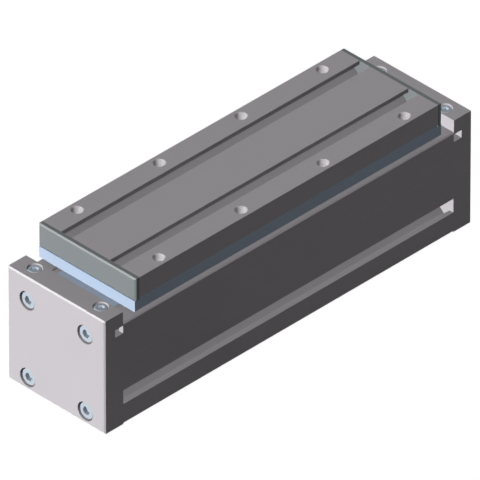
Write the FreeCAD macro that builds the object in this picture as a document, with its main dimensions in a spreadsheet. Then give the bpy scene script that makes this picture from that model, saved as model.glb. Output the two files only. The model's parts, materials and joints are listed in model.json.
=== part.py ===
import FreeCAD, Part

# A covered linear guide: an aluminium profile with two end plates, a steel rail inside it,
# and a carriage with a flat table that slides along the profile on two runner blocks.
# A thin steel strip covers the opening of the profile and passes through the carriage.
# Frame: origin at the bottom centre of the guide, +X along the travel, +Z up, millimetres.
# "front" is the end at -X and "rear" the end at +X. Front pieces are drawn, and rear ones turned.

import math
import os

import Sketcher

Vector = FreeCAD.Vector
Rotation = FreeCAD.Rotation

# Driving dimensions. Each one is a cell of the sheet, with its name as alias.
DIMENSIONS = [
    # Base profile
    ("guide_width", 95, "width of the profile, the end plates and the table"),
    ("profile_height", 85, "height of the profile"),
    ("profile_bevel", 1, "bevel on the long edges"),
    ("slot_level", 22.7, "height of the middle of the side T slots"),
    ("slot_mouth", 11.6, "opening of a side T slot"),
    ("slot_lip", 3.7, "thickness of the lips beside the mouth"),
    ("slot_chamber", 21.6, "height of the chamber behind the lips"),
    ("slot_shoulder", 9.7, "depth from the side to the end of the straight chamber"),
    ("slot_floor", 13, "height of the flat at the bottom of a slot"),
    ("slot_depth", 14, "depth of a slot from the side"),
    ("seat_level", 20, "height of the seat of the rail inside the profile"),
    ("roof_level", 66, "height of the ceiling of the hollow"),
    ("slot_wall", 4, "wall between a slot and the hollow"),
    ("side_wall", 5.5, "side wall above the slots"),
    ("chamber_wall", 4, "wall between the side and the upper chamber"),
    ("chamber_width", 9, "width of the upper chamber on either side of the opening"),
    ("chamber_bottom", 70, "height of the floor of the upper chambers"),
    ("chamber_top", 81, "height of the ceiling of the upper chambers"),
    ("hollow_bevel", 4, "bevel in the corners of the hollow"),
    ("throat_width", 41, "opening along the top, below the cover strip"),
    ("strip_bed_width", 65, "width of the bed of the cover strip"),
    ("strip_bed_depth", 1.5, "depth of the bed of the cover strip"),
    ("duct_width", 15, "width of the two ducts in the floor"),
    ("duct_bottom", 5, "thickness below the ducts"),
    ("duct_top", 15, "height of the ceiling of the ducts"),
    ("floor_rib", 12, "rib between the ducts, which takes the rail screws"),
    # End plates
    ("plate_thickness", 18, "thickness of an end plate"),
    ("plate_rise", 10, "height of an end plate above the profile"),
    ("plate_bevel", 1, "bevel around the outer face"),
    ("notch_depth", 7.7, "depth of the notch in the inner face"),
    ("notch_height", 6.4, "height of the notch"),
    ("notch_below_strip", 0.3, "distance of the notch below the cover strip"),
    ("end_screw_spacing", 56.6, "spacing of the end screws across the guide"),
    ("end_screw_inset", 10, "distance of the end screws from the top and bottom of the profile"),
    ("end_head_recess", 1, "depth of the heads of the end screws below the face"),
    # Cover strip and its clamps
    ("strip_width", 56, "width of the cover strip"),
    ("strip_thickness", 0.5, "thickness of the cover strip"),
    ("strip_grip", 9, "length of the strip inside each end plate"),
    ("strip_rise", 11.5, "rise of the strip where it passes through the carriage"),
    ("strip_ramp", 36, "length along the guide over which the strip rises"),
    ("strip_lead", 2, "room between the rising strip and the floor of its channel at full travel"),
    ("strip_side_gap", 2, "gap beside the strip in its channel"),
    ("clamp_bar_length", 75, "length of a clamp bar across the guide"),
    ("clamp_bar_width", 8, "width of a clamp bar"),
    ("clamp_bar_height", 3.5, "height of a clamp bar"),
    ("clamp_inset", 6.4, "distance of the clamp screws and bars from the inner face of an end plate"),
    ("clamp_screw_spacing", 64.6, "spacing of the clamp screws"),
    # Rail, runner blocks and buffers
    ("rail_end_gap", 2, "gap between the rail and an end plate"),
    ("rail_width", 20, "width of the rail"),
    ("rail_height", 18, "height of the rail"),
    ("rail_bevel", 0.8, "bevel on the edges of the rail"),
    ("groove_depth", 1.8, "depth of the ball groove in each side of the rail"),
    ("groove_level", 10.5, "height of the middle of the ball groove above the seat"),
    ("groove_flat", 3, "height of the flat at the bottom of the ball groove"),
    ("rail_pitch", 60, "pitch of the rail screws"),
    ("rail_margin", 9, "shortest distance from a rail screw to the end of the rail"),
    ("runner_inset", 2, "distance of the end of a runner block from the end of the saddle"),
    ("runner_length", 50, "length of the steel body of a runner block"),
    ("runner_width", 44, "width of a runner block"),
    ("runner_top", 30, "height of the top of a runner block above the seat of the rail"),
    ("runner_bottom", 4.6, "height of the underside of a runner block above that seat"),
    ("runner_bevel", 1.5, "bevel on the long edges of a runner block"),
    ("end_cap_length", 9, "length of a plastic end cap of a runner block"),
    ("end_cap_step", 0.6, "step from the steel body in to an end cap"),
    ("seal_thickness", 1, "thickness of a wiper seal"),
    ("seal_step", 1.2, "step from the steel body in to a wiper seal"),
    ("runner_gap", 0.5, "running gap between the rail and a runner block"),
    ("seal_gap", 0.3, "running gap between the rail and a wiper seal"),
    ("runner_screw_across", 32, "spacing of the block screws across the guide"),
    ("runner_screw_along", 36, "spacing of the block screws along the guide"),
    ("buffer_length", 10.8, "length of a rubber buffer"),
    ("buffer_size", 14, "diameter of a rubber buffer"),
    ("buffer_bevel", 1.5, "bevel at the tip of a buffer"),
    ("stud_size", 6, "diameter of the stud of a buffer"),
    ("stud_length", 7, "length of the stud of a buffer"),
    # Carriage
    ("travel", 10, "travel of the carriage from the middle to either stop"),
    ("stop_gap", 0.2, "gap left between the saddle and a buffer at full travel"),
    ("saddle_width", 56, "width of the saddle"),
    ("saddle_thickness", 10, "thickness of the plate of the saddle"),
    ("riser_length", 156, "length of the riser through the opening"),
    ("riser_width", 38, "width of the riser"),
    ("body_length", 300, "length of the carriage body"),
    ("body_end_gap", 12, "gap between the carriage body and an end plate, with the carriage in the middle"),
    ("body_inset", 0.6, "step from the side of the table in to the carriage body"),
    ("body_height", 11, "height of the carriage body"),
    ("body_gap", 3, "running gap between the profile and the carriage body"),
    ("body_bevel", 0.6, "bevel on the lower edges of the carriage body"),
    ("channel_floor", 4, "thickness of the floor of the channel"),
    ("channel_floor_inset", 52, "distance of the floor of the channel from the ends of the body"),
    ("end_bar", 8, "width of the bar across each end of the carriage body"),
    ("ledge_step", 1.9, "step down to the ledge that a table cap stands on"),
    ("riser_screw_along", 60, "pitch of the screws that join the body to the riser"),
    ("riser_screw_across", 24, "spacing of those screws across the guide"),
    ("table_thickness", 17, "thickness of the table plate"),
    ("table_slot_offset", 23.9, "distance of each T slot of the table from the middle"),
    ("table_slot_mouth", 10.6, "opening of a T slot of the table"),
    ("table_slot_lip", 3.2, "thickness of the lips beside that mouth"),
    ("table_slot_chamber", 20.4, "width of the chamber below those lips"),
    ("table_slot_shoulder", 8.4, "depth from the top to the end of the straight chamber"),
    ("table_slot_floor", 12.4, "width of the flat at the bottom of a T slot of the table"),
    ("table_slot_depth", 12.4, "depth of a T slot of the table"),
    ("table_hole_along", 80, "pitch of the threaded table holes along the guide"),
    ("table_hole_across", 80, "spacing of the threaded table holes across the guide"),
    ("table_hole_core", 8.5, "core diameter of the M10 threads"),
    ("table_hole_mouth", 9.6, "diameter of the bevel at the mouth of a table hole"),
    ("table_hole_depth", 14, "depth of the threaded table holes"),
    ("table_screw_along", 80, "pitch of the screws below the table"),
    ("table_screw_across", 80, "spacing of those screws across the guide"),
    ("table_cap_thickness", 4, "thickness of an end cap of the table"),
    ("table_cap_bevel", 1, "bevel on the outer edges of an end cap of the table"),
    ("pin_size", 3, "diameter of the pins that hold the end caps"),
    ("pin_length", 8, "length of the pins"),
    ("pin_in_cap", 2.3, "length of a pin inside the end cap"),
    ("pin_spacing", 74, "spacing of the pins across the guide"),
    ("pin_height", 6, "height of the pins above the underside of the table"),
    # Screws
    ("m8_size", 8, "M8 thread"),
    ("m8_head", 13, "M8 head diameter"),
    ("m8_head_height", 5, "height of the low head of an M8 screw"),
    ("m8_socket", 6, "M8 hexagon across flats"),
    ("m8_socket_depth", 3.2, "depth of that hexagon"),
    ("m8_length", 25, "M8 length below the head"),
    ("m8_bore", 15, "counterbore for an M8 head"),
    ("m6_size", 6, "M6 thread"),
    ("m6_head", 10, "M6 head diameter"),
    ("m6_head_height", 4, "height of the low head of an M6 screw"),
    ("m6_socket", 5, "M6 hexagon across flats"),
    ("m6_socket_depth", 2.1, "depth of that hexagon"),
    ("m6_bore", 11.4, "counterbore for an M6 head"),
    ("m6_head_recess", 0.6, "depth of the heads of the clamp screws below the top"),
    ("flat_head", 11.4, "M6 countersunk head diameter"),
    ("flat_socket", 4, "M6 countersunk hexagon across flats"),
    ("flat_socket_depth", 2, "depth of that hexagon"),
    ("flat_length", 16, "M6 countersunk screw length"),
    ("m5_size", 5, "M5 thread"),
    ("m5_head", 8.5, "M5 head diameter"),
    ("m5_socket", 4, "M5 hexagon across flats"),
    ("m5_socket_depth", 2.5, "depth of that hexagon"),
    ("m5_bore", 9.5, "counterbore for an M5 head"),
    ("m5_head_recess", 1, "depth of the M5 heads below the face"),
    ("rail_screw_length", 20, "M5 length below the head, rail"),
    ("block_screw_length", 12, "M5 length below the head, runner blocks"),
    ("table_screw_length", 14, "M5 length below the head, table"),
    ("screw_bevel", 0.5, "bevel on the heads and tips of the screws that show"),
    ("thread_gap", 0.1, "gap around a screw or pin in its tight hole"),
    ("hole_gap", 0.3, "gap around a screw or stud in a plain hole"),
    ("seat_gap", 0.3, "gap around a bar in its pocket and below the tip of a screw"),
]


class Size:
    """A length with its present value and the expression that ties it to the sheet."""

    def __init__(self, text, value):
        self.text = text
        self.value = float(value)

    def __add__(self, other):
        other = as_size(other)
        return Size(f"({self.text} + {other.text})", self.value + other.value)

    def __sub__(self, other):
        other = as_size(other)
        return Size(f"({self.text} - {other.text})", self.value - other.value)

    def __mul__(self, other):
        other = as_size(other)
        return Size(f"{self.text} * {other.text}", self.value * other.value)

    def __truediv__(self, other):
        other = as_size(other)
        return Size(f"{self.text} / ({other.text})", self.value / other.value)

    def __neg__(self):
        return Size(f"(0 - {self.text})", -self.value)

    def __radd__(self, other):
        return as_size(other) + self

    def __rsub__(self, other):
        return as_size(other) - self

    def __rmul__(self, other):
        return as_size(other) * self


def as_size(value):
    return value if isinstance(value, Size) else Size(f"({value})", value)


class Sizes:
    """The cells of the sheet, each as a Size under its alias."""


doc = FreeCAD.newDocument("linear_guide")
sheet = doc.addObject("Spreadsheet::Sheet", "Dimensions")
for row, (alias, value, note) in enumerate(DIMENSIONS, start=1):
    sheet.set(f"A{row}", alias)
    sheet.set(f"B{row}", str(value))
    sheet.setAlias(f"B{row}", alias)
    sheet.set(f"C{row}", note)
doc.recompute()

d = Sizes()
for alias, value, note in DIMENSIONS:
    setattr(d, alias, Size(f"Dimensions.{alias}", sheet.get(alias)))

# Places that several pieces share.
side = d.guide_width / 2
profile_length = d.body_length + d.body_end_gap * 2
profile_end = profile_length / 2
outer_end = profile_end + d.plate_thickness
plate_height = d.profile_height + d.plate_rise
strip_level = d.profile_height - d.strip_bed_depth
notch_top = strip_level - d.notch_below_strip
channel_floor_end = d.body_length / 2 - d.channel_floor_inset
strip_rise_end = channel_floor_end + d.travel + d.strip_lead
strip_rise_start = strip_rise_end + d.strip_ramp
channel_width = d.strip_width + d.strip_side_gap * 2
rail_length = profile_length - d.rail_end_gap * 2
saddle_end = profile_end - d.buffer_length - d.stop_gap - d.travel
runner_reach = d.runner_length / 2 + d.end_cap_length + d.seal_thickness
runner_offset = saddle_end - d.runner_inset - runner_reach
m5_bore_depth = d.m5_size + d.m5_head_recess
body_width = d.guide_width - d.body_inset * 2
saddle_bottom = d.seat_level + d.runner_top
saddle_top = saddle_bottom + d.saddle_thickness
body_bottom = d.profile_height + d.body_gap
body_top = body_bottom + d.body_height
channel_level = body_bottom + d.channel_floor
table_top = body_top + d.table_thickness
table_end = d.body_length / 2 - d.table_cap_thickness
pin_level = body_top + d.pin_height
buffer_level = saddle_bottom + d.saddle_thickness / 2
end_bore_depth = d.m8_head_height + d.end_head_recess
clamp_bar_bottom = strip_level - d.clamp_bar_height
clamp_bar_middle = profile_end + d.clamp_inset
clamp_bar_far = clamp_bar_middle + d.clamp_bar_width / 2
clamp_bore_depth = d.m6_head_height + d.m6_head_recess
clamp_seat = plate_height - clamp_bore_depth
rail_seat = d.seat_level + d.rail_height - m5_bore_depth
block_seat = saddle_top - m5_bore_depth
table_seat = body_bottom + m5_bore_depth

ENDS = (("front", 0), ("rear", 180))
SIDES = (-1, 1)
nodes = []


# Helpers for sketches and features

def new_body(name):
    body = doc.addObject("PartDesign::Body", name)
    body.Label = name
    return body


def new_node(name):
    body = new_body(name)
    nodes.append(body)
    return body


def new_sketch(body, name, role, offset=0):
    """Sketch on one of the body's origin planes, moved along the normal of that plane."""
    sketch = body.newObject("Sketcher::SketchObject", f"{body.Name}_{name}")
    plane = next(f for f in body.Origin.OriginFeatures if f.Role == role)
    sketch.AttachmentSupport = [(plane, "")]
    sketch.MapMode = "FlatFace"
    sketch.setExpression("AttachmentOffset.Base.z", as_size(offset).text)
    return sketch


def tie(sketch, kind, places, size):
    """Sketch dimension that follows a Size."""
    index = sketch.addConstraint(Sketcher.Constraint(kind, *places, size.value))
    sketch.renameConstraint(index, f"size_{index}")
    sketch.setExpression(f"Constraints.size_{index}", size.text)


def arc_through(start, end, turn, radius):
    """Arc from start to end that turns left (+1) or right (-1) with this radius."""
    chord = end - start
    bulge = radius - math.sqrt(radius ** 2 - chord.Length ** 2 / 4)
    right = Vector(chord.y, -chord.x, 0).normalize()
    return Part.Arc(start, (start + end) * 0.5 + right * (bulge * turn), end)


def outline(sketch, corners):
    """Closed outline through corners (x, y); (x, y, turn, radius) starts an arc."""
    corners = [(as_size(c[0]), as_size(c[1])) + tuple(c[2:]) for c in corners]
    points = [Vector(c[0].value, c[1].value, 0) for c in corners]
    first = sketch.GeometryCount
    count = len(corners)
    ends = []
    for k, corner in enumerate(corners):
        start, end = points[k], points[(k + 1) % count]
        if len(corner) == 2:
            sketch.addGeometry(Part.LineSegment(start, end), False)
            ends.append((1, 2))
        else:
            sketch.addGeometry(arc_through(start, end, corner[2], corner[3].value), False)
            # An arc of a sketch runs counterclockwise, so a right turn starts at its end.
            ends.append((1, 2) if corner[2] > 0 else (2, 1))
    for k in range(count):
        following = (k + 1) % count
        join = (first + k, ends[k][1], first + following, ends[following][0])
        sketch.addConstraint(Sketcher.Constraint("Coincident", *join))
    for k, corner in enumerate(corners):
        tie(sketch, "DistanceX", (-1, 1, first + k, ends[k][0]), corner[0])
        tie(sketch, "DistanceY", (-1, 1, first + k, ends[k][0]), corner[1])
        if len(corner) > 2:
            tie(sketch, "Radius", (first + k,), corner[3])


def rectangle(sketch, left, right, bottom, top):
    outline(sketch, [(left, bottom), (right, bottom), (right, top), (left, top)])


def circle(sketch, x, y, diameter):
    x, y, diameter = as_size(x), as_size(y), as_size(diameter)
    centre = Vector(x.value, y.value, 0)
    index = sketch.addGeometry(Part.Circle(centre, Vector(0, 0, 1), diameter.value / 2), False)
    tie(sketch, "DistanceX", (-1, 1, index, 3), x)
    tie(sketch, "DistanceY", (-1, 1, index, 3), y)
    tie(sketch, "Diameter", (index,), diameter)


def circles(sketch, places, diameter):
    for x, y in places:
        circle(sketch, x, y, diameter)


def both_halves(half):
    """Whole outline from its right half, mirrored about the upright axis."""
    return half + [(-x, y) for x, y in reversed([(as_size(x), y) for x, y in half])]


def extrude(kind, sketch, length, symmetric, backward):
    body = sketch.getParentGeoFeatureGroup()
    feature = body.newObject(kind, f"{sketch.Name}_{kind[12:].lower()}")
    feature.Profile = sketch
    feature.SideType = "Symmetric" if symmetric else "One side"
    feature.Reversed = backward
    if length is None:
        feature.Type = "ThroughAll"
    else:
        feature.setExpression("Length", as_size(length).text)
    return feature


def pad(sketch, length, symmetric=False, backward=False):
    """Solid along the normal of the sketch, or against it where backward."""
    return extrude("PartDesign::Pad", sketch, length, symmetric, backward)


def pocket(sketch, length=None, symmetric=False, backward=False):
    """Cut against the normal of the sketch, or along it where backward."""
    return extrude("PartDesign::Pocket", sketch, length, symmetric, backward)


def revolve(sketch):
    """Solid of revolution about the upright axis of the sketch."""
    body = sketch.getParentGeoFeatureGroup()
    feature = body.newObject("PartDesign::Revolution", f"{sketch.Name}_revolution")
    feature.Profile = sketch
    feature.ReferenceAxis = (sketch, ["V_Axis"])
    feature.Angle = 360
    return feature


def sunk_holes(sketch, bore, mouth, depth=None):
    """Round holes with a bevelled mouth of 90 degrees."""
    body = sketch.getParentGeoFeatureGroup()
    doc.recompute()
    hole = body.newObject("PartDesign::Hole", f"{sketch.Name}_hole")
    hole.Profile = sketch
    hole.ThreadType = "None"
    hole.HoleCutType = "Countersink"
    hole.setExpression("Diameter", bore.text)
    hole.setExpression("HoleCutDiameter", mouth.text)
    hole.HoleCutCountersinkAngle = 90
    hole.DrillPoint = "Flat"
    if depth is None:
        hole.DepthType = "ThroughAll"
    else:
        hole.DepthType = "Dimension"
        hole.setExpression("Depth", depth.text)
    return hole


def bevel_face(feature, x, size):
    """Bevel on the edges of the face of a feature that lies at this x."""
    doc.recompute()
    body = feature.getParentGeoFeatureGroup()
    edges = []
    for k, edge in enumerate(feature.Shape.Edges, start=1):
        if all(abs(v.X - x.value) < 1e-6 for v in edge.Vertexes):
            edges.append(f"Edge{k}")
    chamfer = body.newObject("PartDesign::Chamfer", f"{feature.Name}_bevel")
    chamfer.Base = (feature, edges)
    chamfer.setExpression("Size", size.text)
    return chamfer


def put(item, x, y, z, rotation=None):
    """Place an object, with its position tied to the sheet."""
    if rotation is not None:
        item.Placement = FreeCAD.Placement(Vector(), rotation)
    for axis, size in zip("xyz", (x, y, z)):
        item.setExpression(f"Placement.Base.{axis}", as_size(size).text)


def group(name, master, places, rotation=None):
    """Node of several alike pieces, each a copy of the master at its own place."""
    copies = []
    for k, (x, y, z) in enumerate(places):
        copy = doc.addObject("App::Link", f"{name}_copy_{k + 1}")
        copy.LinkedObject = master
        put(copy, x, y, z, rotation)
        copies.append(copy)
    compound = doc.addObject("Part::Compound", name)
    compound.Links = copies
    compound.Label = name
    nodes.append(compound)


def turned(end_angle):
    return Rotation(Vector(0, 0, 1), end_angle)


def row_places(count, pitch):
    """Places along X, centred on the middle."""
    return [pitch * (k - (count - 1) / 2) for k in range(count)]


def across(spacing):
    return [spacing / 2 * s for s in SIDES]


# Places of the screws and threaded holes

end_screw_levels = (d.end_screw_inset, d.profile_height - d.end_screw_inset)
end_screw_places = [(y, z) for y in across(d.end_screw_spacing) for z in end_screw_levels]
rail_screw_count = 1 + int((rail_length.value - 2 * d.rail_margin.value) / d.rail_pitch.value)
rail_screw_places = [(x, 0) for x in row_places(rail_screw_count, d.rail_pitch)]
riser_screw_places = [(x, y) for x in row_places(3, d.riser_screw_along) for y in across(d.riser_screw_across)]
table_screw_places = [(x, y) for x in row_places(3, d.table_screw_along) for y in across(d.table_screw_across)]
table_hole_places = [(x, y) for x in row_places(4, d.table_hole_along) for y in across(d.table_hole_across)]


def block_screw_places(middle):
    return [(middle + x, y) for x in across(d.runner_screw_along) for y in across(d.runner_screw_across)]


# Base profile: one extruded section, open along the top

def base_profile():
    body = new_node("base_profile")
    lip = side - d.slot_lip
    shoulder = side - d.slot_shoulder
    bottom = side - d.slot_depth
    inner = side - d.side_wall
    narrow = side - d.slot_depth - d.slot_wall
    slot_top = d.slot_level + d.slot_chamber / 2
    hollow_step = slot_top + d.slot_wall
    half = [
        (side - d.profile_bevel, 0),
        (side, d.profile_bevel),
        (side, d.slot_level - d.slot_mouth / 2),
        (lip, d.slot_level - d.slot_mouth / 2),
        (lip, d.slot_level - d.slot_chamber / 2),
        (shoulder, d.slot_level - d.slot_chamber / 2),
        (bottom, d.slot_level - d.slot_floor / 2),
        (bottom, d.slot_level + d.slot_floor / 2),
        (shoulder, slot_top),
        (lip, slot_top),
        (lip, d.slot_level + d.slot_mouth / 2),
        (side, d.slot_level + d.slot_mouth / 2),
        (side, d.profile_height - d.profile_bevel),
        (side - d.profile_bevel, d.profile_height),
        (d.strip_bed_width / 2, d.profile_height),
        (d.strip_bed_width / 2, strip_level),
        (d.throat_width / 2, strip_level),
        (d.throat_width / 2, d.roof_level),
        (inner - d.hollow_bevel, d.roof_level),
        (inner, d.roof_level - d.hollow_bevel),
        (inner, hollow_step + d.hollow_bevel),
        (inner - d.hollow_bevel, hollow_step),
        (narrow, hollow_step),
        (narrow, d.seat_level),
    ]
    section = new_sketch(body, "section", "YZ_Plane")
    outline(section, both_halves(half))
    pad(section, profile_length, symmetric=True)

    ports = new_sketch(body, "screw_ports", "YZ_Plane")
    circles(ports, end_screw_places, d.m8_size + d.thread_gap * 2)
    pocket(ports, symmetric=True)

    ducts = new_sketch(body, "ducts", "YZ_Plane")
    near = d.floor_rib / 2
    rectangle(ducts, near, near + d.duct_width, d.duct_bottom, d.duct_top)
    rectangle(ducts, -near - d.duct_width, -near, d.duct_bottom, d.duct_top)
    pocket(ducts, symmetric=True)

    chambers = new_sketch(body, "upper_chambers", "YZ_Plane")
    far = side - d.chamber_wall
    rectangle(chambers, far - d.chamber_width, far, d.chamber_bottom, d.chamber_top)
    rectangle(chambers, -far, d.chamber_width - far, d.chamber_bottom, d.chamber_top)
    pocket(chambers, symmetric=True)

    threads = new_sketch(body, "rail_threads", "XY_Plane", d.seat_level)
    circles(threads, rail_screw_places, d.m5_size + d.thread_gap * 2)
    depth = d.rail_screw_length - (rail_seat - d.seat_level) + d.seat_gap
    pocket(threads, depth)


# End plates, drawn at -X

def end_plate(end, angle):
    body = new_node(f"end_plate_{end}")
    section = new_sketch(body, "section", "YZ_Plane", -profile_end)
    rectangle(section, -side, side, 0, plate_height)
    block = pad(section, d.plate_thickness, backward=True)
    bevel_face(block, -outer_end, d.plate_bevel)

    bores = new_sketch(body, "end_bores", "YZ_Plane", -outer_end)
    circles(bores, end_screw_places, d.m8_bore)
    pocket(bores, end_bore_depth, backward=True)

    holes = new_sketch(body, "end_holes", "YZ_Plane", -outer_end)
    circles(holes, end_screw_places, d.m8_size + d.hole_gap * 2)
    pocket(holes, backward=True)

    notch = new_sketch(body, "notch", "XZ_Plane")
    rectangle(notch, -profile_end - d.notch_depth, -profile_end,
              notch_top - d.notch_height, notch_top)
    pocket(notch, symmetric=True)

    bed = new_sketch(body, "clamp_pocket", "XZ_Plane")
    rectangle(bed, -clamp_bar_far - d.seat_gap, -profile_end,
              clamp_bar_bottom - d.seat_gap, strip_level + d.strip_thickness)
    pocket(bed, d.clamp_bar_length + d.seat_gap * 2, symmetric=True)

    places = [(-clamp_bar_middle, y) for y in across(d.clamp_screw_spacing)]
    clamp_bores = new_sketch(body, "clamp_bores", "XY_Plane", plate_height)
    circles(clamp_bores, places, d.m6_bore)
    pocket(clamp_bores, clamp_bore_depth)
    clamp_holes = new_sketch(body, "clamp_holes", "XY_Plane", plate_height)
    circles(clamp_holes, places, d.m6_size + d.hole_gap * 2)
    pocket(clamp_holes, plate_height - strip_level)

    stud = new_sketch(body, "stud_hole", "YZ_Plane", -profile_end)
    circle(stud, 0, buffer_level, d.stud_size + d.thread_gap * 2)
    pocket(stud, d.stud_length + d.seat_gap)
    put(body, 0, 0, 0, turned(angle))


def clamp_bar(end, angle):
    body = new_node(f"strip_clamp_bar_{end}")
    half = d.clamp_bar_length / 2
    section = new_sketch(body, "section", "XY_Plane", clamp_bar_bottom)
    rectangle(section, -clamp_bar_far, d.clamp_bar_width - clamp_bar_far, -half, half)
    pad(section, d.clamp_bar_height)
    threads = new_sketch(body, "threads", "XY_Plane", strip_level)
    places = [(-clamp_bar_middle, y) for y in across(d.clamp_screw_spacing)]
    circles(threads, places, d.m6_size + d.thread_gap * 2)
    pocket(threads)
    put(body, 0, 0, 0, turned(angle))


# Cover strip: flat in its bed at both ends, raised in two smooth bends through the carriage

def cover_strip():
    body = new_node("cover_strip")
    run = strip_rise_start - strip_rise_end
    bend = (run * run + d.strip_rise * d.strip_rise) / (d.strip_rise * 4)
    middle = (strip_rise_start + strip_rise_end) / 2
    end = profile_end + d.strip_grip
    low, high = strip_level, strip_level + d.strip_rise
    halfway = strip_level + d.strip_rise / 2
    thick = d.strip_thickness
    section = new_sketch(body, "section", "XZ_Plane")
    outline(section, [
        (-end, low),
        (-strip_rise_start, low, 1, bend),
        (-middle, halfway, -1, bend),
        (-strip_rise_end, high),
        (strip_rise_end, high, -1, bend),
        (middle, halfway, 1, bend),
        (strip_rise_start, low),
        (end, low),
        (end, low + thick),
        (strip_rise_start, low + thick, -1, bend),
        (middle, halfway + thick, 1, bend),
        (strip_rise_end, high + thick),
        (-strip_rise_end, high + thick, 1, bend),
        (-middle, halfway + thick, -1, bend),
        (-strip_rise_start, low + thick),
        (-end, low + thick),
    ])
    pad(section, d.strip_width, symmetric=True)


# Rail and runner blocks

def guide_rail():
    body = new_node("guide_rail")
    half_width = d.rail_width / 2
    top = d.seat_level + d.rail_height
    groove = d.seat_level + d.groove_level
    flat = d.groove_flat / 2
    half = [
        (half_width - d.rail_bevel, d.seat_level),
        (half_width, d.seat_level + d.rail_bevel),
        (half_width, groove - flat - d.groove_depth),
        (half_width - d.groove_depth, groove - flat),
        (half_width - d.groove_depth, groove + flat),
        (half_width, groove + flat + d.groove_depth),
        (half_width, top - d.rail_bevel),
        (half_width - d.rail_bevel, top),
    ]
    section = new_sketch(body, "section", "YZ_Plane")
    outline(section, both_halves(half))
    pad(section, rail_length, symmetric=True)
    bores = new_sketch(body, "bores", "XY_Plane", top)
    circles(bores, rail_screw_places, d.m5_bore)
    pocket(bores, m5_bore_depth)
    holes = new_sketch(body, "holes", "XY_Plane", top)
    circles(holes, rail_screw_places, d.m5_size + d.hole_gap * 2)
    pocket(holes)


def runner_section(body, step, gap, middle=0):
    """Section that straddles the rail: step in from the block's outline, gap to the rail."""
    outer = d.runner_width / 2 - step
    top = saddle_bottom - step
    bottom = d.seat_level + d.runner_bottom + step
    inner = d.rail_width / 2 + gap
    groove = d.seat_level + d.groove_level
    flat = d.groove_flat / 2 - gap
    half = [
        (outer - d.runner_bevel, top),
        (outer, top - d.runner_bevel),
        (outer, bottom + d.runner_bevel),
        (outer - d.runner_bevel, bottom),
        (inner, bottom),
        (inner, groove - flat - d.groove_depth),
        (inner - d.groove_depth, groove - flat),
        (inner - d.groove_depth, groove + flat),
        (inner, groove + flat + d.groove_depth),
        (inner, d.seat_level + d.rail_height + gap),
    ]
    section = new_sketch(body, "section", "YZ_Plane", middle)
    outline(section, both_halves(half))
    return section


def runner_block(end, sign):
    body = new_node(f"runner_block_{end}")
    middle = runner_offset * sign
    section = runner_section(body, as_size(0), d.runner_gap, middle)
    pad(section, d.runner_length, symmetric=True)
    threads = new_sketch(body, "threads", "XY_Plane", saddle_bottom)
    circles(threads, block_screw_places(middle), d.m5_size + d.thread_gap * 2)
    pocket(threads, d.block_screw_length - (block_seat - saddle_bottom) + d.seat_gap)


def runner_ends():
    """Plastic end caps and wiper seals at both ends of each runner block."""
    cap = new_body("runner_end_cap")
    pad(runner_section(cap, d.end_cap_step, d.runner_gap), d.end_cap_length, symmetric=True)
    seal = new_body("runner_seal")
    pad(runner_section(seal, d.seal_step, d.seal_gap), d.seal_thickness, symmetric=True)
    cap_place = (d.runner_length + d.end_cap_length) / 2
    seal_place = cap_place + (d.end_cap_length + d.seal_thickness) / 2
    for (end, angle), sign in zip(ENDS, SIDES):
        middle = runner_offset * sign
        group(f"runner_end_caps_{end}", cap, [(middle + cap_place * s, 0, 0) for s in SIDES])
        group(f"runner_seals_{end}", seal, [(middle + seal_place * s, 0, 0) for s in SIDES])


def buffer(end, sign):
    """Rubber buffer on a stud, drawn upright and laid along the guide."""
    body = new_node(f"buffer_{end}")
    radius = d.buffer_size / 2
    section = new_sketch(body, "section", "XZ_Plane")
    outline(section, [
        (0, -d.stud_length),
        (d.stud_size / 2, -d.stud_length),
        (d.stud_size / 2, 0),
        (radius, 0),
        (radius, d.buffer_length - d.buffer_bevel),
        (radius - d.buffer_bevel, d.buffer_length),
        (0, d.buffer_length),
    ])
    revolve(section)
    inward = Rotation(Vector(0, 0, 1), Vector(-sign, 0, 0))
    put(body, profile_end * sign, 0, buffer_level, inward)


# Carriage

def saddle():
    """Plate on the runner blocks with a riser that comes up through the opening."""
    body = new_node("saddle")
    plate = new_sketch(body, "plate", "XY_Plane", saddle_bottom)
    rectangle(plate, -saddle_end, saddle_end, -d.saddle_width / 2, d.saddle_width / 2)
    pad(plate, d.saddle_thickness)
    riser = new_sketch(body, "riser", "XY_Plane", saddle_top)
    rectangle(riser, -d.riser_length / 2, d.riser_length / 2, -d.riser_width / 2, d.riser_width / 2)
    pad(riser, body_bottom - saddle_top)
    places = block_screw_places(-runner_offset) + block_screw_places(runner_offset)
    bores = new_sketch(body, "bores", "XY_Plane", saddle_top)
    circles(bores, places, d.m5_bore)
    pocket(bores, m5_bore_depth)
    holes = new_sketch(body, "holes", "XY_Plane", saddle_top)
    circles(holes, places, d.m5_size + d.hole_gap * 2)
    pocket(holes)
    threads = new_sketch(body, "threads", "XY_Plane", body_bottom)
    circles(threads, riser_screw_places, d.m6_size + d.thread_gap * 2)
    pocket(threads, d.flat_length - d.channel_floor + d.seat_gap)


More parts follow.
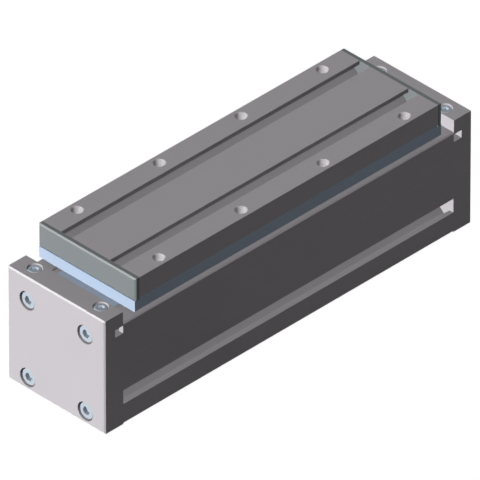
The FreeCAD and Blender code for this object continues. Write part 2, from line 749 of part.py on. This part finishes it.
def carriage_body():
    """Slab below the table with a channel for the cover strip."""
    body = new_node("carriage_body")
    half_width, half_length = body_width / 2, d.body_length / 2
    section = new_sketch(body, "section", "YZ_Plane")
    outline(section, both_halves([
        (half_width - d.body_bevel, body_bottom),
        (half_width, body_bottom + d.body_bevel),
        (half_width, body_top),
    ]))
    pad(section, d.body_length, symmetric=True)

    channel = new_sketch(body, "channel", "YZ_Plane")
    rectangle(channel, -channel_width / 2, channel_width / 2, channel_level, body_top)
    pocket(channel, d.body_length - d.end_bar * 2, symmetric=True)

    openings = new_sketch(body, "openings", "XY_Plane", channel_level)
    near, far = channel_floor_end, half_length - d.end_bar
    rectangle(openings, near, far, -channel_width / 2, channel_width / 2)
    rectangle(openings, -far, -near, -channel_width / 2, channel_width / 2)
    pocket(openings)

    ledges = new_sketch(body, "ledges", "XZ_Plane")
    low = body_top - d.ledge_step
    rectangle(ledges, table_end, half_length, low, body_top)
    rectangle(ledges, -half_length, -table_end, low, body_top)
    pocket(ledges, symmetric=True)

    bores = new_sketch(body, "table_screw_bores", "XY_Plane", body_bottom)
    circles(bores, table_screw_places, d.m5_bore)
    pocket(bores, m5_bore_depth, backward=True)
    holes = new_sketch(body, "table_screw_holes", "XY_Plane", body_bottom)
    circles(holes, table_screw_places, d.m5_size + d.hole_gap * 2)
    pocket(holes, backward=True)

    sunk = new_sketch(body, "riser_screw_holes", "XY_Plane", channel_level)
    mouth = d.flat_head + d.thread_gap * 2
    circles(sunk, riser_screw_places, mouth)
    sunk_holes(sunk, d.m6_size + d.thread_gap * 2, mouth)


def table_plate():
    body = new_node("table_plate")
    half_width = d.guide_width / 2
    block = new_sketch(body, "block", "XY_Plane", body_top)
    rectangle(block, -table_end, table_end, -half_width, half_width)
    pad(block, d.table_thickness)

    slots = new_sketch(body, "t_slots", "YZ_Plane")
    for offset in (d.table_slot_offset, -d.table_slot_offset):
        half = [
            (d.table_slot_floor / 2, table_top - d.table_slot_depth),
            (d.table_slot_chamber / 2, table_top - d.table_slot_shoulder),
            (d.table_slot_chamber / 2, table_top - d.table_slot_lip),
            (d.table_slot_mouth / 2, table_top - d.table_slot_lip),
            (d.table_slot_mouth / 2, table_top),
        ]
        outline(slots, [(offset + y, z) for y, z in both_halves(half)])
    pocket(slots, symmetric=True)

    threads = new_sketch(body, "screw_threads", "XY_Plane", body_top)
    circles(threads, table_screw_places, d.m5_size + d.thread_gap * 2)
    pocket(threads, d.table_screw_length - (body_top - table_seat) + d.seat_gap, backward=True)

    for name, place, backward in (("front_pins", -table_end, True), ("rear_pins", table_end, False)):
        pins = new_sketch(body, name, "YZ_Plane", place)
        circles(pins, [(y, pin_level) for y in across(d.pin_spacing)], d.pin_size + d.thread_gap * 2)
        pocket(pins, d.pin_length - d.pin_in_cap + d.seat_gap, backward=backward)

    holes = new_sketch(body, "threaded_holes", "XY_Plane", table_top)
    circles(holes, table_hole_places, d.table_hole_mouth)
    sunk_holes(holes, d.table_hole_core, d.table_hole_mouth, d.table_hole_depth)


def table_cap(end, angle):
    """Plate that closes the table and its T slots and stands on a ledge of the body, drawn at -X."""
    body = new_node(f"table_cap_{end}")
    section = new_sketch(body, "section", "YZ_Plane", -table_end)
    rectangle(section, -side, side, body_top - d.ledge_step, table_top)
    block = pad(section, d.table_cap_thickness, backward=True)
    bevel_face(block, -table_end - d.table_cap_thickness, d.table_cap_bevel)
    pins = new_sketch(body, "pins", "YZ_Plane", -table_end)
    circles(pins, [(y, pin_level) for y in across(d.pin_spacing)], d.pin_size + d.thread_gap * 2)
    pocket(pins, d.pin_in_cap + d.thread_gap)
    put(body, 0, 0, 0, turned(angle))


# Screws and pins: each is drawn upright, with the seat of its head at z = 0

def socket_cut(body, level, across_flats, depth):
    """Hexagon socket down from this level."""
    sketch = new_sketch(body, "socket", "XY_Plane", level)
    radius = across_flats / math.sqrt(3)
    corners = []
    for k in range(6):
        angle = math.radians(60 * k + 30)
        corners.append((radius * round(math.cos(angle), 12), radius * round(math.sin(angle), 12)))
    outline(sketch, corners)
    pocket(sketch, depth)


def cap_screw(name, size, head, height, socket, depth, length, bevel=None):
    """Socket head screw, with bevelled head and tip where it shows."""
    body = new_body(name)
    tip = [(size / 2, -length)]
    rim = [(head / 2, height)]
    if bevel is not None:
        tip = [(size / 2 - bevel, -length), (size / 2, bevel - length)]
        rim = [(head / 2, height - bevel), (head / 2 - bevel, height)]
    section = new_sketch(body, "section", "XZ_Plane")
    outline(section, [(0, -length)] + tip + [(size / 2, 0), (head / 2, 0)] + rim + [(0, height)])
    revolve(section)
    socket_cut(body, height, socket, depth)
    return body


def m5_screw(name, length):
    return cap_screw(name, d.m5_size, d.m5_head, d.m5_size, d.m5_socket, d.m5_socket_depth, length)


def flat_screw(name, size, head, socket, depth, length):
    """Countersunk screw: the top of its head lies at z = 0."""
    body = new_body(name)
    section = new_sketch(body, "section", "XZ_Plane")
    outline(section, [
        (0, -length),
        (size / 2, -length),
        (size / 2, (size - head) / 2),
        (head / 2, 0),
        (0, 0),
    ])
    revolve(section)
    socket_cut(body, 0, socket, depth)
    return body


def screws():
    m8 = cap_screw("m8_screw", d.m8_size, d.m8_head, d.m8_head_height, d.m8_socket,
                   d.m8_socket_depth, d.m8_length, d.screw_bevel)
    clamp_length = clamp_seat - clamp_bar_bottom
    m6 = cap_screw("m6_screw", d.m6_size, d.m6_head, d.m6_head_height, d.m6_socket,
                   d.m6_socket_depth, clamp_length, d.screw_bevel)
    m6_flat = flat_screw("m6_flat_screw", d.m6_size, d.flat_head, d.flat_socket,
                         d.flat_socket_depth, d.flat_length)
    m5_rail = m5_screw("m5_rail_screw", d.rail_screw_length)
    m5_block = m5_screw("m5_block_screw", d.block_screw_length)
    m5_table = m5_screw("m5_table_screw", d.table_screw_length)
    for (end, angle), sign in zip(ENDS, SIDES):
        seat = (outer_end - end_bore_depth) * sign
        outward = Rotation(Vector(0, 0, 1), Vector(sign, 0, 0))
        group(f"end_screws_{end}", m8, [(seat, y, z) for y, z in end_screw_places], outward)
        places = [(clamp_bar_middle * sign, y, clamp_seat) for y in across(d.clamp_screw_spacing)]
        group(f"clamp_screws_{end}", m6, places)
    block_places = block_screw_places(-runner_offset) + block_screw_places(runner_offset)
    group("rail_screws", m5_rail, [(x, y, rail_seat) for x, y in rail_screw_places])
    group("block_screws", m5_block, [(x, y, block_seat) for x, y in block_places])
    group("riser_screws", m6_flat, [(x, y, channel_level) for x, y in riser_screw_places])
    upside_down = Rotation(Vector(1, 0, 0), 180)
    group("table_screws", m5_table, [(x, y, table_seat) for x, y in table_screw_places], upside_down)


def cap_pins():
    pin = doc.addObject("Part::Cylinder", "pin")
    pin.setExpression("Radius", (d.pin_size / 2).text)
    pin.setExpression("Height", d.pin_length.text)
    laid = Rotation(Vector(0, 0, 1), Vector(1, 0, 0))
    inner, outer = table_end - d.pin_length + d.pin_in_cap, table_end + d.pin_in_cap
    places = [(x, y, pin_level) for x in (-outer, inner) for y in across(d.pin_spacing)]
    group("cap_pins", pin, places, laid)


base_profile()
for end, angle in ENDS:
    end_plate(end, angle)
    clamp_bar(end, angle)
    table_cap(end, angle)
cover_strip()
guide_rail()
for (end, angle), sign in zip(ENDS, SIDES):
    runner_block(end, sign)
    buffer(end, sign)
runner_ends()
saddle()
carriage_body()
table_plate()
screws()
cap_pins()

# Build, check and write the parts

doc.recompute()
for item in doc.Objects:
    if "Invalid" in item.State or "Error" in item.State:
        raise RuntimeError(f"{item.Name} failed: {item.State}")
for node in nodes:
    if node.Shape.isNull() or not node.Shape.isValid() or not node.Shape.Solids:
        raise RuntimeError(f"{node.Label} has no valid solid")

os.makedirs("parts", exist_ok=True)
for node in nodes:
    node.Shape.exportStep(f"parts/{node.Label}.step")
    solids = len(node.Shape.Solids)
    print(f"{node.Label}: {solids} solid(s), {node.Shape.Volume / 1000:.1f} cm3")
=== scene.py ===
import json
import math

import bpy
import numpy as np
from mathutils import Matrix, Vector


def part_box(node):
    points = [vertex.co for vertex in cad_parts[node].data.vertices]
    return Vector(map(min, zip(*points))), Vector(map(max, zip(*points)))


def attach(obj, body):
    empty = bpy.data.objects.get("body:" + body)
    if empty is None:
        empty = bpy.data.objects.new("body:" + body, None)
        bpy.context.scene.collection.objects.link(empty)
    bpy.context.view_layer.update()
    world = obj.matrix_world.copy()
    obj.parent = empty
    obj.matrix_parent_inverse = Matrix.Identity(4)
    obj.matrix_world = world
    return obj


# Looks of a covered linear guide: finishes of its metal, plastic and rubber, the threads in its
# table holes, and the light and camera of an isometric catalogue picture. Lengths in metres.

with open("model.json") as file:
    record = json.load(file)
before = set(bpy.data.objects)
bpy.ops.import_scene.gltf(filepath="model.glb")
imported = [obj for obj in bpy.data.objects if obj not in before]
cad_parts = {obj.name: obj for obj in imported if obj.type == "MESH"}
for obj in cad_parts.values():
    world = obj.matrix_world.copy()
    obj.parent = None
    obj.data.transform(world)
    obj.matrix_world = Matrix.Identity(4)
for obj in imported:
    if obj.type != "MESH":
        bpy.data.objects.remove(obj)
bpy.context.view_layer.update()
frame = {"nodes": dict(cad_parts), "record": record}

# The picture's view: isometric, so the camera is far away behind a very long lens.
VIEW_AZIMUTH = math.radians(-45)
VIEW_ELEVATION = math.atan(1 / math.sqrt(2))
VIEW_TARGET = Vector((-0.0006, 0.0003, 0.0507))
VIEW_WIDTH = 0.3329
LENS_MM = 1650
SENSOR_MM = 36
CLIP_START = 1.0
CLIP_END_FACTOR = 2.5

# Suns: (name, direction it comes from, strength, width in degrees, casts shadows, bounces)
SUNS = (
    ("end_key", (-1, 0, 0), 0.93, 2, False, 0),
    ("top_key", (0, 0, 1), 0.278, 2, False, 1),
    ("side_key", (0, -1, 1), 0.038, 2, False, 1),
    ("soft_key", (-12, 3, 6), 0.055, 25, True, 4),
    ("far_end_key", (1, 0, 0), 0.4, 10, True, 4),
    ("far_side_key", (0, 1, 0), 0.15, 10, True, 4),
)
# A sun seen only as gloss, which lights the upper edges of the end that faces the camera
EDGE_GLOSS = ("edge_gloss", (-1, 1, 1), 0.7, 8, False, 0)
FILL = 0.022

FLOOR_REACH = 1.2
FLOOR_PAINT = 0.8
FLOOR_GLOW = 0.72


def srgb(red, green, blue):
    """Linear colour of an sRGB colour given from 0 to 255."""
    shares = np.array([red, green, blue]) / 255
    low = shares / 12.92
    high = ((shares + 0.055) / 1.055) ** 2.4
    return (*np.where(shares <= 0.04045, low, high).tolist(), 1.0)


ALUMINIUM = srgb(207, 202, 207)
PLATING = srgb(193, 211, 235)
STRIP_STEEL = srgb(213, 231, 254)
SCREW_BLUE = srgb(196, 208, 220)
STEEL = srgb(178, 182, 188)
CAP_GREY = srgb(137, 143, 145)

# Painted highlights: lighter colours on the bevels between the outer end and top of the end plates
# and table caps
PAINTED_HIGHLIGHT_ALUMINIUM = srgb(241, 240, 244)
PAINTED_HIGHLIGHT_CAP_GREY = srgb(170, 175, 176)
END_BEVEL = 0.001
BEVEL_BLEND = 0.0001

# Threads in the table holes: M10, with 1.5 mm pitch
THREAD_PITCH = 0.0015
THREAD_WALL = 0.0043
THREAD_CREST = 0.00397
THREAD_BASE_WIDTH = 0.00105
THREAD_CREST_WIDTH = 0.0002
THREAD_START = 0.0009
THREAD_TURNS = 8
THREAD_STEPS = 48


# Camera, lights, world and floor

def add_camera():
    data = bpy.data.cameras.new("view")
    data.lens = LENS_MM
    data.sensor_width = SENSOR_MM
    distance = VIEW_WIDTH * LENS_MM / SENSOR_MM
    data.clip_start = CLIP_START
    data.clip_end = distance * CLIP_END_FACTOR
    camera = bpy.data.objects.new("view", data)
    toward = Vector((
        -math.cos(VIEW_ELEVATION) * math.cos(VIEW_AZIMUTH),
        math.cos(VIEW_ELEVATION) * math.sin(VIEW_AZIMUTH),
        math.sin(VIEW_ELEVATION),
    ))
    camera.location = VIEW_TARGET + toward * distance
    camera.rotation_euler = (-toward).to_track_quat("-Z", "Y").to_euler()
    bpy.context.scene.collection.objects.link(camera)
    bpy.context.scene.camera = camera
    bpy.context.scene.view_settings.view_transform = "Standard"


def add_sun(name, source, strength, width, casts_shadow, bounces):
    """Sun from that direction; a white face turned straight to one of strength 1 renders white."""
    data = bpy.data.lights.new(name, "SUN")
    data.energy = strength * math.pi
    data.angle = math.radians(width)
    data.use_shadow = casts_shadow
    data.cycles.max_bounces = bounces
    sun = bpy.data.objects.new(name, data)
    sun.rotation_euler = Vector(source).to_track_quat("Z", "Y").to_euler()
    bpy.context.scene.collection.objects.link(sun)
    return sun


def add_lights():
    for sun in SUNS:
        add_sun(*sun)
    gloss = add_sun(*EDGE_GLOSS)
    gloss.visible_diffuse = False


def seen_directly(tree):
    """1 where the camera, a glossy ray or a ray through clear material meets the surface, else 0."""
    rays = tree.nodes.new("ShaderNodeLightPath")
    first = tree.nodes.new("ShaderNodeMath")
    first.operation = "MAXIMUM"
    second = tree.nodes.new("ShaderNodeMath")
    second.operation = "MAXIMUM"
    tree.links.new(rays.outputs["Is Camera Ray"], first.inputs[0])
    tree.links.new(rays.outputs["Is Glossy Ray"], first.inputs[1])
    tree.links.new(first.outputs[0], second.inputs[0])
    tree.links.new(rays.outputs["Is Transmission Ray"], second.inputs[1])
    return second.outputs[0]


def add_world():
    """Even fill light; white where the camera or a glossy or clear surface sees it."""
    world = bpy.data.worlds.new("studio")
    world.use_nodes = True
    bpy.context.scene.world = world
    tree = world.node_tree
    tree.nodes.clear()
    strength = tree.nodes.new("ShaderNodeMapRange")
    strength.inputs["To Min"].default_value = FILL
    strength.inputs["To Max"].default_value = 1.0
    background = tree.nodes.new("ShaderNodeBackground")
    background.inputs["Color"].default_value = (1, 1, 1, 1)
    output = tree.nodes.new("ShaderNodeOutputWorld")
    tree.links.new(seen_directly(tree), strength.inputs["Value"])
    tree.links.new(strength.outputs["Result"], background.inputs["Strength"])
    tree.links.new(background.outputs["Background"], output.inputs["Surface"])


def add_floor():
    """Pale floor, white to the camera and to gloss, that keeps a soft shadow of the guide."""
    reach = FLOOR_REACH
    mesh = bpy.data.meshes.new("floor")
    corners = [(-reach, -reach, 0), (reach, -reach, 0), (reach, reach, 0), (-reach, reach, 0)]
    mesh.from_pydata(corners, [], [(0, 1, 2, 3)])
    floor = bpy.data.objects.new("floor", mesh)
    bpy.context.scene.collection.objects.link(floor)
    floor.visible_diffuse = False
    material = bpy.data.materials.new("pale_floor")
    material.use_nodes = True
    tree = material.node_tree
    tree.nodes.clear()
    glow = tree.nodes.new("ShaderNodeMath")
    glow.operation = "MULTIPLY"
    glow.inputs[1].default_value = FLOOR_GLOW
    paint = tree.nodes.new("ShaderNodeBsdfDiffuse")
    paint.inputs["Color"].default_value = (FLOOR_PAINT, FLOOR_PAINT, FLOOR_PAINT, 1)
    light = tree.nodes.new("ShaderNodeEmission")
    both = tree.nodes.new("ShaderNodeAddShader")
    output = tree.nodes.new("ShaderNodeOutputMaterial")
    tree.links.new(seen_directly(tree), glow.inputs[0])
    tree.links.new(glow.outputs[0], light.inputs["Strength"])
    tree.links.new(paint.outputs[0], both.inputs[0])
    tree.links.new(light.outputs[0], both.inputs[1])
    tree.links.new(both.outputs[0], output.inputs["Surface"])
    mesh.materials.append(material)


# Finishes. Each is a material on Object coordinates, so a pattern keeps its real scale.

class Finish:
    """A principled material with helpers for its procedural layers."""

    def __init__(self, name, roughness, specular, metallic=0.0, coat=0.0):
        self.material = bpy.data.materials.new(name)
        self.material.use_nodes = True
        self.tree = self.material.node_tree
        self.shader = self.tree.nodes["Principled BSDF"]
        self.shader.inputs["Roughness"].default_value = roughness
        self.shader.inputs["Specular IOR Level"].default_value = specular
        self.shader.inputs["Metallic"].default_value = metallic
        self.shader.inputs["Coat Weight"].default_value = coat
        self.place = self.tree.nodes.new("ShaderNodeTexCoord").outputs["Object"]
        self.height = None

    def link(self, source, target):
        self.tree.links.new(source, target)

    def noise(self, scale, stretch=(1, 1, 1), detail=2.0):
        """Noise whose grains are 1 / scale metres wide, stretched along the axes."""
        mapping = self.tree.nodes.new("ShaderNodeMapping")
        mapping.inputs["Scale"].default_value = [scale / s for s in stretch]
        noise = self.tree.nodes.new("ShaderNodeTexNoise")
        noise.inputs["Scale"].default_value = 1.0
        noise.inputs["Detail"].default_value = detail
        self.link(self.place, mapping.inputs["Vector"])
        self.link(mapping.outputs["Vector"], noise.inputs["Vector"])
        return noise.outputs["Fac"]

    def ramp(self, value, low, high, start=0.3, end=0.7):
        """Colour that runs from low to high as the value goes from start to end."""
        ramp = self.tree.nodes.new("ShaderNodeValToRGB")
        first, last = ramp.color_ramp.elements
        first.position, last.position = start, end
        first.color, last.color = low, high
        self.link(value, ramp.inputs["Fac"])
        return ramp.outputs["Color"]

    def multiply(self, one, other):
        mix = self.tree.nodes.new("ShaderNodeMix")
        mix.data_type = "RGBA"
        mix.blend_type = "MULTIPLY"
        mix.inputs["Factor"].default_value = 1.0
        self.link(one, mix.inputs["A"])
        self.link(other, mix.inputs["B"])
        return mix.outputs["Result"]

    def with_painted_bevel_highlight(self, tone, bright, piece):
        """The tone, with a painted highlight, a lighter colour, on the bevel between the outer end
        and top of a piece.

        On that bevel the distance from the middle along X and the height add up to the most, so
        the colour changes where their sum comes near to it.
        """
        low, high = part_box(piece)
        most = max(-low[0], high[0]) + high[2] - END_BEVEL
        split = self.tree.nodes.new("ShaderNodeSeparateXYZ")
        reach = self.tree.nodes.new("ShaderNodeMath")
        reach.operation = "ABSOLUTE"
        total = self.tree.nodes.new("ShaderNodeMath")
        total.operation = "ADD"
        on_bevel = self.tree.nodes.new("ShaderNodeMapRange")
        on_bevel.inputs["From Min"].default_value = most - BEVEL_BLEND * 2
        on_bevel.inputs["From Max"].default_value = most - BEVEL_BLEND
        # Painted highlight: the lighter colour is mixed in on the bevel
        mix = self.tree.nodes.new("ShaderNodeMix")
        mix.data_type = "RGBA"
        mix.inputs["B"].default_value = bright
        self.link(self.place, split.inputs["Vector"])
        self.link(split.outputs["X"], reach.inputs[0])
        self.link(reach.outputs[0], total.inputs[0])
        self.link(split.outputs["Z"], total.inputs[1])
        self.link(total.outputs[0], on_bevel.inputs["Value"])
        self.link(on_bevel.outputs["Result"], mix.inputs["Factor"])
        self.link(tone, mix.inputs["A"])
        return mix.outputs["Result"]

    def colour(self, source):
        self.link(source, self.shader.inputs["Base Color"])

    def vary_roughness(self, value, low, high):
        spread = self.tree.nodes.new("ShaderNodeMapRange")
        spread.inputs["To Min"].default_value = low
        spread.inputs["To Max"].default_value = high
        self.link(value, spread.inputs["Value"])
        self.link(spread.outputs["Result"], self.shader.inputs["Roughness"])

    def bump(self, value, depth):
        """Relief of this depth in metres, on top of any earlier one."""
        bump = self.tree.nodes.new("ShaderNodeBump")
        bump.inputs["Strength"].default_value = 1.0
        bump.inputs["Distance"].default_value = depth
        self.link(value, bump.inputs["Height"])
        if self.height is not None:
            self.link(self.height, bump.inputs["Normal"])
        self.height = bump.outputs["Normal"]
        self.link(self.height, self.shader.inputs["Normal"])


def shade(colour, factor):
    return tuple(c * factor for c in colour[:3]) + (1.0,)


def extruded_aluminium():
    """Anodised extrusion: fine die lines along X over a satin grain."""
    finish = Finish("extruded_aluminium", 0.5, 0.2)
    lines = finish.noise(2600, stretch=(400, 1, 1), detail=3)
    cloud = finish.noise(35)
    tone = finish.ramp(lines, shade(ALUMINIUM, 0.955), shade(ALUMINIUM, 1.03))
    soft = finish.ramp(cloud, (0.975, 0.975, 0.98, 1), (1, 1, 1, 1))
    finish.colour(finish.multiply(tone, soft))
    finish.vary_roughness(lines, 0.42, 0.58)
    finish.bump(lines, 0.000012)
    return finish.material


def milled_grain(finish):
    """Colour of an anodised milled face: a fine even grain with faint long cutter marks across."""
    grain = finish.noise(5200, detail=2)
    cutter = finish.noise(900, stretch=(1, 60, 60), detail=1)
    tone = finish.ramp(grain, shade(ALUMINIUM, 0.97), shade(ALUMINIUM, 1.02))
    marks = finish.ramp(cutter, (0.98, 0.98, 0.98, 1), (1, 1, 1, 1))
    finish.vary_roughness(grain, 0.44, 0.56)
    finish.bump(grain, 0.000006)
    return finish.multiply(tone, marks)


def milled_aluminium():
    """Anodised milled table, saddle and clamp bars."""
    finish = Finish("milled_aluminium", 0.5, 0.2)
    finish.colour(milled_grain(finish))
    return finish.material


def end_plate_aluminium():
    """Anodised milled end plates, with a highlight painted on the bevel along the top of the outer
    face.
    """
    finish = Finish("end_plate_aluminium", 0.5, 0.2)
    # Painted highlight, a lighter aluminium, on the bevel along the top of the outer face
    finish.colour(finish.with_painted_bevel_highlight(milled_grain(finish), PAINTED_HIGHLIGHT_ALUMINIUM, "end_plate_front"))
    return finish.material


def plated_steel():
    """Bright blue-white plating on the carriage body: rolled lines along X."""
    finish = Finish("plated_steel", 0.4, 0.22, coat=0.05)
    lines = finish.noise(1800, stretch=(250, 1, 1), detail=2)
    cloud = finish.noise(28)
    tone = finish.ramp(lines, shade(PLATING, 0.96), shade(PLATING, 1.02))
    soft = finish.ramp(cloud, (0.97, 0.98, 1, 1), (1, 1, 1, 1))
    finish.colour(finish.multiply(tone, soft))
    finish.vary_roughness(lines, 0.32, 0.46)
    finish.bump(lines, 0.000005)
    return finish.material


def rolled_strip():
    """Thin rolled steel strip with long polished lines."""
    finish = Finish("rolled_strip", 0.32, 0.25)
    lines = finish.noise(3400, stretch=(900, 1, 1), detail=2)
    finish.colour(finish.ramp(lines, shade(STRIP_STEEL, 0.96), shade(STRIP_STEEL, 1.03)))
    finish.vary_roughness(lines, 0.26, 0.38)
    return finish.material


def screw_steel():
    """Zinc plated screws: pale blue with fine turning lines."""
    finish = Finish("screw_steel", 0.35, 0.3)
    grain = finish.noise(2400, detail=3)
    finish.colour(finish.ramp(grain, shade(SCREW_BLUE, 0.94), shade(SCREW_BLUE, 1.02)))
    finish.vary_roughness(grain, 0.28, 0.44)
    finish.bump(grain, 0.000006)
    return finish.material


def ground_steel():
    """Ground and hardened rail and runner steel: fine lines along X."""
    finish = Finish("ground_steel", 0.3, 0.4, metallic=0.3)
    lines = finish.noise(4200, stretch=(80, 1, 1), detail=2)
    finish.colour(finish.ramp(lines, shade(STEEL, 0.93), shade(STEEL, 1.05)))
    finish.vary_roughness(lines, 0.22, 0.36)
    finish.bump(lines, 0.000004)
    return finish.material


def grey_plastic():
    """Moulded grey end cap of the table: a fine spark-eroded grain, with a highlight painted on its
    top bevel.
    """
    finish = Finish("grey_plastic", 0.55, 0.2)
    grain = finish.noise(3000, detail=3)
    cloud = finish.noise(60)
    tone = finish.ramp(grain, shade(CAP_GREY, 0.95), shade(CAP_GREY, 1.03))
    soft = finish.ramp(cloud, (0.98, 0.98, 0.98, 1), (1, 1, 1, 1))
    moulded = finish.multiply(tone, soft)
    # Painted highlight, a lighter grey, on the cap's top bevel
    finish.colour(finish.with_painted_bevel_highlight(moulded, PAINTED_HIGHLIGHT_CAP_GREY, "table_cap_front"))
    finish.vary_roughness(grain, 0.48, 0.62)
    finish.bump(grain, 0.00001)
    return finish.material


def black_plastic():
    """Moulded end caps of the runner blocks."""
    finish = Finish("black_plastic", 0.5, 0.3)
    grain = finish.noise(3600, detail=3)
    finish.colour(finish.ramp(grain, (0.022, 0.022, 0.025, 1), (0.035, 0.035, 0.038, 1)))
    finish.bump(grain, 0.00001)
    return finish.material


def black_rubber():
    """Wiper seals and buffers."""
    finish = Finish("black_rubber", 0.75, 0.2)
    grain = finish.noise(2200, detail=4)
    finish.colour(finish.ramp(grain, (0.012, 0.012, 0.012, 1), (0.024, 0.024, 0.024, 1)))
    finish.vary_roughness(grain, 0.66, 0.84)
    finish.bump(grain, 0.00002)
    return finish.material


FINISH_OF_SLOT = {
    "profile": extruded_aluminium,
    "end_plate": end_plate_aluminium,
    "bar": milled_aluminium,
    "saddle": milled_aluminium,
    "table": milled_aluminium,
    "body": plated_steel,
    "strip": rolled_strip,
    "screw": screw_steel,
    "rail": ground_steel,
    "runner": ground_steel,
    "pin": ground_steel,
    "runner_cap": black_plastic,
    "rubber": black_rubber,
    "table_cap": grey_plastic,
}


def dress_nodes():
    """Give every CAD node the finish of its material slot, made once per finish."""
    made = {}
    for part in frame["record"]["subparts"]:
        maker = FINISH_OF_SLOT[part["material_slot"]]
        if maker not in made:
            made[maker] = maker()
        for slot in frame["nodes"][part["node"]].material_slots:
            slot.material = made[maker]


def table_holes():
    """Middles of the table holes, one row (x, y, 0) each.

    The record gives them as bolt patterns: four holes each, spaced evenly around a middle.
    """
    corners = np.array([(-1, -1, 0), (-1, 1, 0), (1, -1, 0), (1, 1, 0)])
    holes = []
    for mount in frame["record"]["mounts"]:
        if mount["kind"] == "bolt_pattern":
            middle = (*mount["pos_m"][:2], 0)
            spacing = (mount["dims"]["spacing_x_mm"], mount["dims"]["spacing_y_mm"], 0)
            holes.append(middle + corners * spacing / 2 / 1000)
    return np.concatenate(holes)


def add_table_threads():
    """Threads of the table holes, all in one piece.

    A ridge is carried down a helix in each hole. Its section has four corners: two on the wall,
    a base width apart, and two on the crest, a crest width apart. At the angle t the ridge lies
    t / (2 pi) pitches below the start of the thread. Over the first quarter turn the ridge grows
    out of the wall as the sine of t, and over the last it fades into it in the same way.
    """
    rings = THREAD_TURNS * THREAD_STEPS + 1
    angle = np.linspace(0, THREAD_TURNS * 2 * np.pi, rings)[:, None]
    grown = np.minimum(angle, angle[-1] - angle)
    swell = np.sin(np.minimum(grown, np.pi / 2))
    rise = (THREAD_WALL - THREAD_CREST) * swell
    base, crest = THREAD_BASE_WIDTH / 2, THREAD_CREST_WIDTH / 2
    inward = rise * np.array([0, 1, 1, 0])
    above = np.array([-base, -crest, crest, base])
    radius = THREAD_WALL - inward
    depth = THREAD_START + base + angle * THREAD_PITCH / (2 * np.pi)
    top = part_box("table_plate")[1][2]
    height = top - depth + above
    section = np.stack([radius * np.cos(angle), radius * np.sin(angle), height], axis=-1)
    holes = table_holes()
    points = holes[:, None, None, :] + section[None]

    ring = np.arange(rings - 1)[:, None] * 4
    corner = np.arange(4)
    following = (corner + 1) % 4
    near, far = ring + corner, ring + following
    sides = np.stack([near, near + 4, far + 4, far], axis=-1)
    last = (rings - 1) * 4
    ends = np.array([[0, 1, 2, 3], [last + 3, last + 2, last + 1, last]])
    one_hole = np.concatenate([sides.reshape(-1, 4), ends])
    faces = one_hole[None] + (np.arange(len(holes)) * rings * 4)[:, None, None]
    mesh = bpy.data.meshes.new("table_threads")
    mesh.from_pydata(points.reshape(-1, 3).tolist(), [], faces.reshape(-1, 4).tolist())
    piece = bpy.data.objects.new("table_threads", mesh)
    bpy.context.scene.collection.objects.link(piece)
    mesh.materials.append(frame["nodes"]["table_plate"].material_slots[0].material)
    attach(piece, "carriage")


add_camera()
add_lights()
add_world()
add_floor()
dress_nodes()
add_table_threads()
